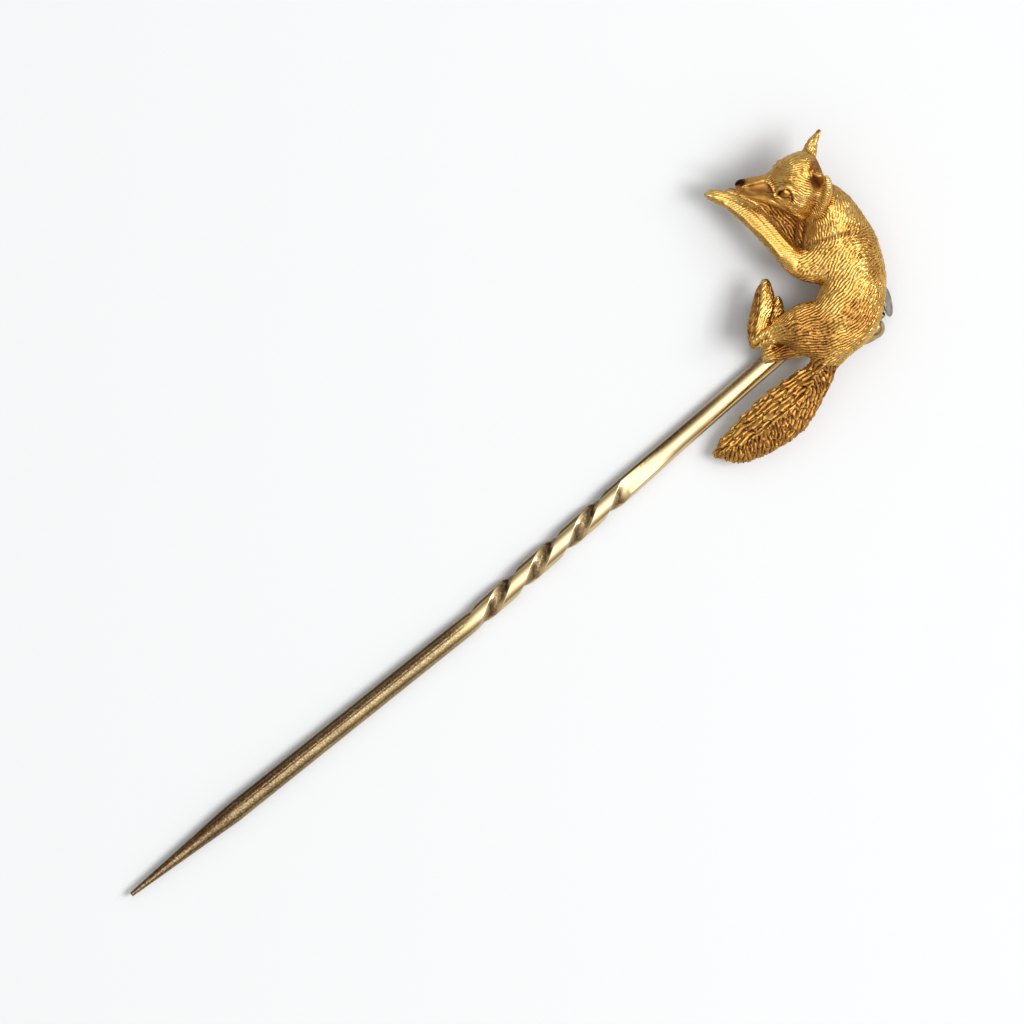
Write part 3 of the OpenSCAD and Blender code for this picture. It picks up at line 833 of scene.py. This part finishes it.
# Soft clay added before the casting is skinned, as chains of balls: place in the photograph,
# height over the table and radius in millimetres
CLAY = {
    "far_ear": (
        (807.5, 157, 4.2, 0.46), (810.5, 146, 4.1, 0.35), (816.3, 136.5, 4.0, 0.20),
        (819.7, 131.5, 3.97, 0.11)),
    "near_ear_rim": (
        (826, 177, 5.9, 0.13), (828, 185, 5.5, 0.24), (827, 195, 5.0, 0.30), (824, 205, 4.5, 0.32),
        (819.5, 213, 4.1, 0.26)),
    "near_ear_front": ((812, 171, 5.7, 0.12), (809.5, 180, 5.45, 0.14), (811.5, 190, 5.2, 0.18)),
    "ear_floor": (
        (816, 178, 5.05, 0.48), (818, 187, 4.8, 0.50), (819.5, 197, 4.45, 0.42),
        (818, 206, 4.0, 0.36)),
    "jaw": (
        (743, 191.5, 3.95, 0.22), (750, 194, 3.9, 0.28), (758, 195.5, 3.9, 0.34),
        (768, 196.5, 3.95, 0.38), (780, 201.5, 3.95, 0.42), (793, 208, 3.9, 0.40),
        (802, 215, 3.7, 0.28)),
    "throat": ((807, 212, 2.9, 0.42), (804, 222, 2.2, 0.42), (802, 240, 2.0, 0.42)),
}
# Lines and spots pressed into or raised from the skin: how far up in millimetres, how wide in
# pixels, the least height over the table of the skin that takes it, and its places
LINES_PX = {
    "jaw_rim": (0.05, 1.2, 3.0, (
        (741, 194), (748, 198), (758, 200), (768, 201.5), (778, 205.5), (790, 212), (801, 218))),
    "muzzle_ridge": (0.10, 1.3, 3.3, (
        (742, 187.5), (746, 185.5), (750, 184.5), (756, 183), (763, 181), (768, 183), (772, 188),
        (776, 197))),
    "muzzle_side": (-0.03, 5.0, 3.3, ((750, 191), (758, 192), (765, 192))),
    "nose_edge": (-0.05, 0.9, 3.3, ((746, 179), (747, 183), (744, 187))),
    "eye_socket": (-0.10, 6.0, 3.3, ((784, 191), (785, 192.5))),
    "eyeball": (0.02, 2.4, 3.3, ((783.5, 195), (785, 195.5))),
    "eye_ring": (-0.09, 1.1, 3.3, (
        (777.5, 196), (779.5, 192), (782, 190), (785.5, 190), (788.5, 192), (790.5, 196.5),
        (788, 199), (784, 199.5), (780.5, 198.5), (777.5, 196))),
    "ear_tip_notch": (-0.12, 1.6, 3.6, ((824, 174), (828, 173.5))),
    "upper_lid": (0.09, 1.5, 3.3, (
        (774.5, 196), (777, 191), (781, 187.5), (786, 187), (790.5, 189.5), (793.5, 194.5))),
    "brow": (0.08, 2.6, 3.3, ((775, 181), (782, 179), (790, 180), (797, 186))),
    "lower_lid": (0.06, 1.3, 3.3, ((776, 200), (780.5, 202), (787, 203), (792.5, 200.5))),
    "pupil": (-0.06, 1.3, 3.3, ((780.5, 193.5), (782.5, 194.5))),
    "tear_corner": (-0.10, 1.4, 3.3, ((790, 197.5), (792, 201))),
    "crown_trim": (-0.12, 6.0, 3.0, ((786, 152), (796, 149), (803, 148))),
    "near_ear_hollow": (-0.06, 4.0, 3.6, ((815, 179), (817, 185), (817, 192))),
    "behind_near_ear": (-0.08, 1.8, 3.0, (
        (833, 182), (834, 194), (830, 206), (823, 217), (813, 221))),
    "cheek_lock": (0.06, 2.4, 3.3, ((795, 203), (804, 209), (813, 214))),
    "jaw_lock": (0.04, 2.0, 3.0, ((785, 206), (794, 213), (803, 219))),
    "foreleg_ridge": (0.06, 1.6, 2.4, (
        (724, 204), (732, 209), (744, 218), (752, 227), (762, 235), (772, 246), (780, 256))),
    "foreleg_rim": (0.05, 1.3, 2.2, (
        (704, 190), (720, 192), (732, 196), (745, 202), (751, 204), (760, 213), (772, 226),
        (785, 242), (791, 248))),
    "foreleg_rim_cut": (-0.025, 1.0, 2.2, (
        (706, 193.5), (719, 195.5), (731, 199.5), (744, 206), (757, 216), (770, 230), (783, 246))),
    "paw_cut": (-0.08, 1.0, 2.0, ((708, 203), (712, 201))),
    "foot_band": (-0.12, 3.2, 1.8, ((756.5, 286), (754.5, 300), (753.5, 316), (752, 332))),
    "foot_band_edge": (0.07, 1.3, 1.8, (
        (757, 279), (753, 287), (749.5, 303), (747.5, 320), (746, 336))),
    "foot_plate": (0.07, 3.2, 2.2, ((764, 284), (764, 300), (761, 316))),
    "foot_plate_edge": (-0.07, 1.1, 2.2, ((759.5, 281), (758.5, 300), (756, 320))),
    "thigh_ridge": (0.13, 2.0, 2.4, ((752, 343), (762, 335), (775, 328), (785, 325), (797, 321))),
    "hock_cut": (-0.10, 1.6, 2.4, ((752, 350), (760, 343), (766, 339))),
    "back_rim": (0.05, 1.4, 1.0, (
        (884, 295), (880, 310), (872, 330), (860, 345), (845, 358), (834, 370))),
    "shoulder_cut": (-0.08, 2.0, 2.6, (
        (803, 247), (812, 243.5), (825, 241), (838, 236.5), (850, 233))),
    "brush_ridge": (0.12, 3.4, 0.9, ((823, 365), *BRUSH_PARTING_PX)),
    "brush_rim": (0.05, 1.4, 0.6, (
        (715, 460), (735, 464), (760, 460), (785, 448), (800, 435), (815, 410), (825, 390))),
}
SPOTS_PX = {
    "brush_teeth": (0.14, 2.6, 0.6, (
        (797, 372), (783, 384), (770, 394), (755, 407), (741, 417), (729, 427), (719, 439))),
    "foreleg_teeth": (0.035, 1.6, 2.0, (
        (729, 214), (734, 218), (739, 222.5), (744, 227), (749, 231.5), (754, 236), (759, 241),
        (764, 246), (769, 251))),
    "foot_beads": (0.06, 1.5, 1.8, (
        (756, 281), (754, 286.5), (752.5, 292), (751.5, 297.5), (750.5, 303), (750, 308.5),
        (749, 314), (748.5, 319.5), (748, 325), (747.5, 330.5), (747, 336))),
    "brow_tufts": (0.08, 2.2, 3.3, ((772, 166), (777, 161), (784, 155), (797, 151))),
    "nose_pad": (0.04, 3.0, 3.3, ((740, 183),)),
}


def clay_chain(chain, name):
    """A smooth tapering sausage through the chain's balls."""
    rows = np.array([[*from_photo(u, v, height), r] for u, v, height, r in chain])
    rows = smooth_route(rows, 5)
    ahead = unit(np.gradient(rows[:, :3], axis=0))
    side = unit(np.cross(ahead, (0, 0, 1)))
    around = ring(side, np.cross(ahead, side), 24)
    rings = rows[:, None, :3] + around * rows[:, None, 3:]
    caps = [(end, way, np.cos(t), np.sin(t)) for end, way, t in
            [(0, -1, t) for t in np.linspace(1.4, 0.3, 4)]
            + [(-1, 1, t) for t in np.linspace(0.3, 1.4, 4)]]
    rounds = [(rows[end, :3] + ahead[end] * way * rows[end, 3] * rise)
              + around[end] * rows[end, 3] * run for end, way, run, rise in caps]
    return tube(np.concatenate([rounds[:4], rings, rounds[4:]]), name)


# A line fades in this far under its least height and between these rises of the skin's
# normal, and reaches this many widths out
LEAST_FADE, LINE_MARGIN, TILT_FADE = 0.3, 3, (-0.3, 0.1)


def press_lines(mesh):
    """Raises and cuts the small forms that the photograph shows."""
    points = mesh_points(mesh)
    ends = edge_ends(mesh)
    normals = unit(relaxed(mesh_normals(mesh), ends, 4, 0.6))
    pixels = photo_pixels(points)
    height = points[:, 2] + AXIS_H
    change = np.zeros(len(points))

    def press(up, width, least, line):
        margin, start = LINE_MARGIN * width, least - LEAST_FADE
        corner, far = np.min(line, 0) - margin, np.max(line, 0) + margin
        near = np.nonzero(((pixels > corner) & (pixels < far)).all(1) & (height > start)
                          & (normals[:, 2] > TILT_FADE[0]))[0]
        away = line_distance(pixels[near], line)
        share = np.exp(-(away / width) ** 2) * eased(height[near], start, least)
        change[near] += up * share * eased(normals[near, 2], *TILT_FADE)

    for line in LINES_PX.values():
        press(*line)
    for up, width, least, spots in SPOTS_PX.values():
        for spot in spots:
            press(up, width, least, (spot,))
    set_points(mesh, points + normals * change[:, None])


SEED = 7
# How far the hair strays from its way, in radians, and over how many pixels it turns
HAIR_SWAY, SWAY_PX = 0.45, 9.0
# How much steeper the graver's cuts are on one side
CUT_LEAN = 0.7
# Shares of a cut's depth: the least, what the lock's tip adds, and what chance adds or takes
CUT_LEAST, CUT_BY_TIP, CUT_BY_CHANCE = 0.55, 0.8, 0.45
# Cuts are full where the waves are at least 1 / SURE_GAIN sure
SURE_GAIN = 1.6
# A row of hair: how far its end bends round each hair, the width in hairs and the strength of
# the wave that staggers the ends, and where in the row the tip begins to fall
ROW_BEND, STAGGER_HAIRS, STAGGER, TIP_START = 0.08, 2.15, 0.65, 0.86
# The hair fades in from the plain underside, by the rise of the skin's normal and by height
HAIR_TILT, HAIR_RISE = (-0.85, -0.45), (-0.5, -0.2)
# Hollows that hold tarnish and painted shade: rounds of smoothing that show them, full depth,
# and share. Then how brown the cuts and the hollows are, and what the shape and the noted places
# give.
HOLLOWS = ((2, 0.012, 0.30), (14, 0.05, 0.35), (60, 0.15, 0.35))
BY_CUTS, BY_HOLLOWS, BY_SHAPE, BY_PLACE = 0.18, 0.9, 0.7, 0.4


def coat_parts(pixels):
    """Which part of the coat each point belongs to, as its place in the table."""
    rest = len(COAT) - 1
    part = np.full(len(pixels), rest)
    for i, name in enumerate(COAT):
        if name in CORNERS_PX:
            part[inside(pixels, CORNERS_PX[name]) & (part == rest)] = i
    return part


def coat_value(part, name):
    column = COAT_COLUMNS.index(name)
    return np.array([row[column] for row in COAT.values()])[part]


def hair_way(pixels, normals, part):
    """The way the hair lies at each point, along the skin."""
    ways = np.zeros((len(pixels), 2))
    for i, name in enumerate(COAT):
        here = part == i
        guides = np.array(GUIDES_PX[name], float)
        away = np.hypot(*(pixels[here][:, None, :] - guides[None, :, :2]).transpose(2, 0, 1))
        weight = 1 / (away + 2) ** 3
        turn = np.radians(guides[:, 2])
        ways[here] = np.stack([weight @ np.cos(turn), weight @ np.sin(turn)], 1)
    sway = HAIR_SWAY * np.array([noise.noise((u / SWAY_PX, v / SWAY_PX, 0)) for u, v in pixels])
    lie = np.arctan2(ways[:, 1], ways[:, 0]) + sway
    flat = np.cos(lie)[:, None] * RIGHT + np.sin(lie)[:, None] * UP
    lying = np.pad(flat, ((0, 0), (0, 1)))
    return unit(lying - normals * (lying * normals).sum(1, keepdims=True))


def even_sample(points, spacing, rng):
    """Points picked at random, one for each small cube of space."""
    order = rng.permutation(len(points))
    cells = np.floor(points[order] / spacing).astype(int)
    _, first = np.unique(cells, axis=0, return_index=True)
    return order[np.sort(first)]


def in_reach(centres, points, reach):
    """Pairs (centre, point) that lie within reach of each other."""
    tree = search_tree(points)
    hits = [[hit[1] for hit in tree.find_range(centre, reach)] for centre in centres]
    first = np.repeat(np.arange(len(centres)), [len(found) for found in hits])
    return first, np.array([i for found in hits for i in found])


# Combing, in shares of a wave's length: the gap between seeds, how far they reach and how soon
# they fade. Then how often the seeds are lined up with each other.
SEED_GAP, SEED_REACH, SEED_FADE, COMB_ROUNDS = 0.62, 1.35, 0.75, 30


def combed_waves(points, normals, across, length, rng):
    """Waves whose crests line up over one part of the coat: the cosine and sine of their
    phase, how sure it is, and a chance value for each hair. across is the way from crest to
    crest."""
    seeds = even_sample(points, SEED_GAP * length, rng)
    at, facing = points[seeds], normals[seeds]
    turn_rate = across[seeds] * (2 * math.pi / length)

    def effect(targets, target_normals):
        seed, target = in_reach(at, targets, SEED_REACH * length)
        gap = targets[target] - at[seed]
        agree = np.clip((target_normals[target] * facing[seed]).sum(1), 0, 1)
        weight = np.exp(-(gap ** 2).sum(1) / (SEED_FADE * length) ** 2) * agree ** 2
        return seed, target, weight, (gap * turn_rate[seed]).sum(1)

    def total(seed, target, weight, turn, count):
        wave = weight * np.exp(1j * (turn + start[seed]))
        return (np.bincount(target, wave.real, count)
                + 1j * np.bincount(target, wave.imag, count))

    start = rng.uniform(0, 2 * math.pi, len(seeds))
    chance = rng.uniform(-1, 1, len(seeds))
    between = effect(at, facing)
    for _ in range(COMB_ROUNDS):
        start = np.angle(total(*between, len(seeds)))
    onto = effect(points, normals)
    wave = total(*onto, len(points))
    whole = np.bincount(onto[1], onto[2], len(points)) + 1e-9
    sharp = onto[2] ** 3
    wander = (np.bincount(onto[1], sharp * chance[onto[0]], len(points))
              / (np.bincount(onto[1], sharp, len(points)) + 1e-9))
    size = np.abs(wave) + 1e-9
    return wave.real / size, wave.imag / size, size / whole, wander


def hollow(points, normals, ends, rounds, depth):
    """How far each point lies below the skin around it, in shares of a depth."""
    return ((relaxed(points, ends, rounds, 0.6) - points) * normals).sum(1) / depth


def carve_coat(mesh):
    """Cuts the hair into the skin, and notes where the cuts are and how brown the gold is there
    and in its hollows and listed places, from tarnish and from painted shade.
    """
    rng = np.random.default_rng(SEED)
    points, normals, ends = mesh_points(mesh), mesh_normals(mesh), edge_ends(mesh)
    soft_normals = unit(relaxed(normals, ends, 12, 0.6))
    pixels = photo_pixels(points)
    seen = eased(soft_normals[:, 2], *HAIR_TILT) * eased(points[:, 2], *HAIR_RISE)
    picked = np.nonzero(seen > 0)[0]
    at, facing = points[picked], soft_normals[picked]
    part = coat_parts(pixels[picked])
    way = hair_way(pixels[picked], facing, part)
    cosine, sine, sure, wander, row_turn, stagger = (np.zeros(len(picked)) for _ in range(6))
    for i, (hair_mm, lock_mm, *_) in enumerate(COAT.values()):
        here = np.nonzero(part == i)[0]
        skin, skin_facing, lie = at[here], facing[here], way[here]
        across = np.cross(skin_facing, lie)
        cosine[here], sine[here], sure[here], wander[here] = combed_waves(
            skin, skin_facing, across, hair_mm, rng)
        stagger[here] = combed_waves(skin, skin_facing, across, STAGGER_HAIRS * hair_mm, rng)[0]
        row_cosine, row_sine, _, _ = combed_waves(skin, skin_facing, lie, lock_mm, rng)
        row_turn[here] = np.arctan2(row_sine, row_cosine) / (2 * math.pi)
    rough = 1 - near_places(pixels[picked], SMOOTH_PX)
    row = row_turn + ROW_BEND * cosine + coat_value(part, "stray") * (STAGGER * stagger + wander)
    row -= np.floor(row)
    tip = row * (1 - eased(row, TIP_START, 1.0))
    strength = rough * seen[picked]
    clear = np.clip(SURE_GAIN * sure, 0, 1)
    depth = (coat_value(part, "cut")
             * (CUT_LEAST + CUT_BY_TIP * tip + CUT_BY_CHANCE * wander) * clear)
    cut = depth * (cosine + CUT_LEAN * sine * cosine - 1) / 2
    height = (cut + coat_value(part, "step") * (tip - 0.5)) * strength
    points[picked] += facing * height[:, None]
    set_points(mesh, points)
    groove = np.zeros(len(points))
    groove[picked] = (1 - cosine) / 2 * strength * sure
    hair = np.zeros((len(points), 3))
    hair[picked] = np.stack([cosine, sine, coat_value(part, "sharp") * strength * clear], 1)
    note(mesh, "hair", hair, "FLOAT_VECTOR", "vector")
    normals = mesh_normals(mesh)
    deep = sum(share * hollow(points, normals, ends, rounds, full)
               for rounds, full, share in HOLLOWS)
    # Tarnish and painted shade in the listed places and in some parts of the coat
    tarnish_and_shade = near_places(pixels, TARNISH_AND_SHADE_PX)
    tarnish_and_shade[picked] = np.maximum(tarnish_and_shade[picked], coat_value(part, "tarnish_and_shade"))
    note(mesh, "cut", BY_SHAPE * np.clip(BY_CUTS * groove + BY_HOLLOWS * deep, 0, 1)
         + BY_PLACE * tarnish_and_shade)


def make_fox(material):
    mesh = fox_casting()
    press_lines(mesh)
    carve_coat(mesh)
    mesh = modified(mesh, "DECIMATE", ratio=KEPT_SHARE)
    finished_piece("engraved_fox", mesh, material, "fox_gold", "fox")


set_camera()
set_light()
set_table()
make_fox(cast_gold())
make_stem(drawn_gold())
make_disc(grey_white_metal())
